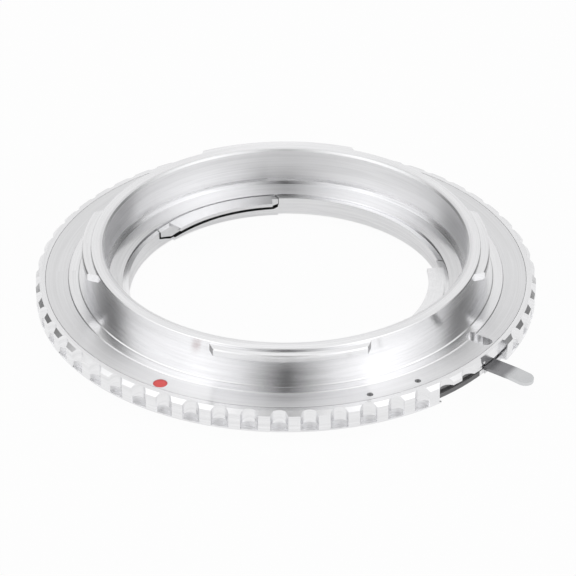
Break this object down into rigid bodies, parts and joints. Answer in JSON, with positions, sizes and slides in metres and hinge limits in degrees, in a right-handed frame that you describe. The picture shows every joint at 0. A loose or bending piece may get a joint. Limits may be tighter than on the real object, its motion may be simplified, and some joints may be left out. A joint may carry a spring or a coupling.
{
  "type": "lens mount adapter",
  "caption": "Thin metal ring adapter with a camera bayonet collar, a lens bayonet bore, a knurled rim and a sprung lens release lever.",
  "frame": {"origin": "on the ring's axis, in the plane of the face that seats on the camera", "axes": "+Z along the ring's axis into the camera, -Z towards the lens"},
  "size_m": [0.068, 0.068, 0.0097],
  "materials": {
    "plated_ring": "turned and satin plated",
    "aluminium_ring": "satin",
    "spring_steel": "bright rolled",
    "lever_steel": "tumbled",
    "screw_steel": "bright",
    "index_red": "filled enamel"
  },
  "bodies": {
    "adapter": {"camera_mount_ring": "plated_ring", "grip_ring": "aluminium_ring", "lens_mount_ring": "plated_ring", "bayonet_spring_1": "spring_steel", "bayonet_spring_2": "spring_steel", "bayonet_spring_3": "spring_steel", "lever_guide_pins": "lever_steel", "lever_return_spring": "spring_steel", "lock_pin_spring": "spring_steel", "lens_ring_screws": "screw_steel", "camera_ring_screws": "screw_steel", "register_pins": "screw_steel", "camera_index_dot": "index_red", "lens_index_dot": "index_red"},
    "lever": {"release_lever": "lever_steel"},
    "lens_lock": {"lock_pin": "lever_steel"}
  },
  "joints": [
    {"name": "lever_swing", "type": "hinge", "parent": "adapter", "child": "lever", "pos_m": [0, 0, 0], "axis": [0, 0, 1], "range_deg": [-12, 0], "stiffness_Nm_per_rad": 0.02, "springref_deg": 2.86, "deforming": ["lever_return_spring"]},
    {"name": "lock_pin_lift", "type": "slide", "parent": "adapter", "child": "lens_lock", "axis": [0, 0, 1], "range_m": [0, 0.0009], "deforming": ["lock_pin_spring"]}
  ],
  "couplings": [
    {"joint": "lock_pin_lift", "follows": "lever_swing", "m_per_rad": -0.0042972}
  ]
}
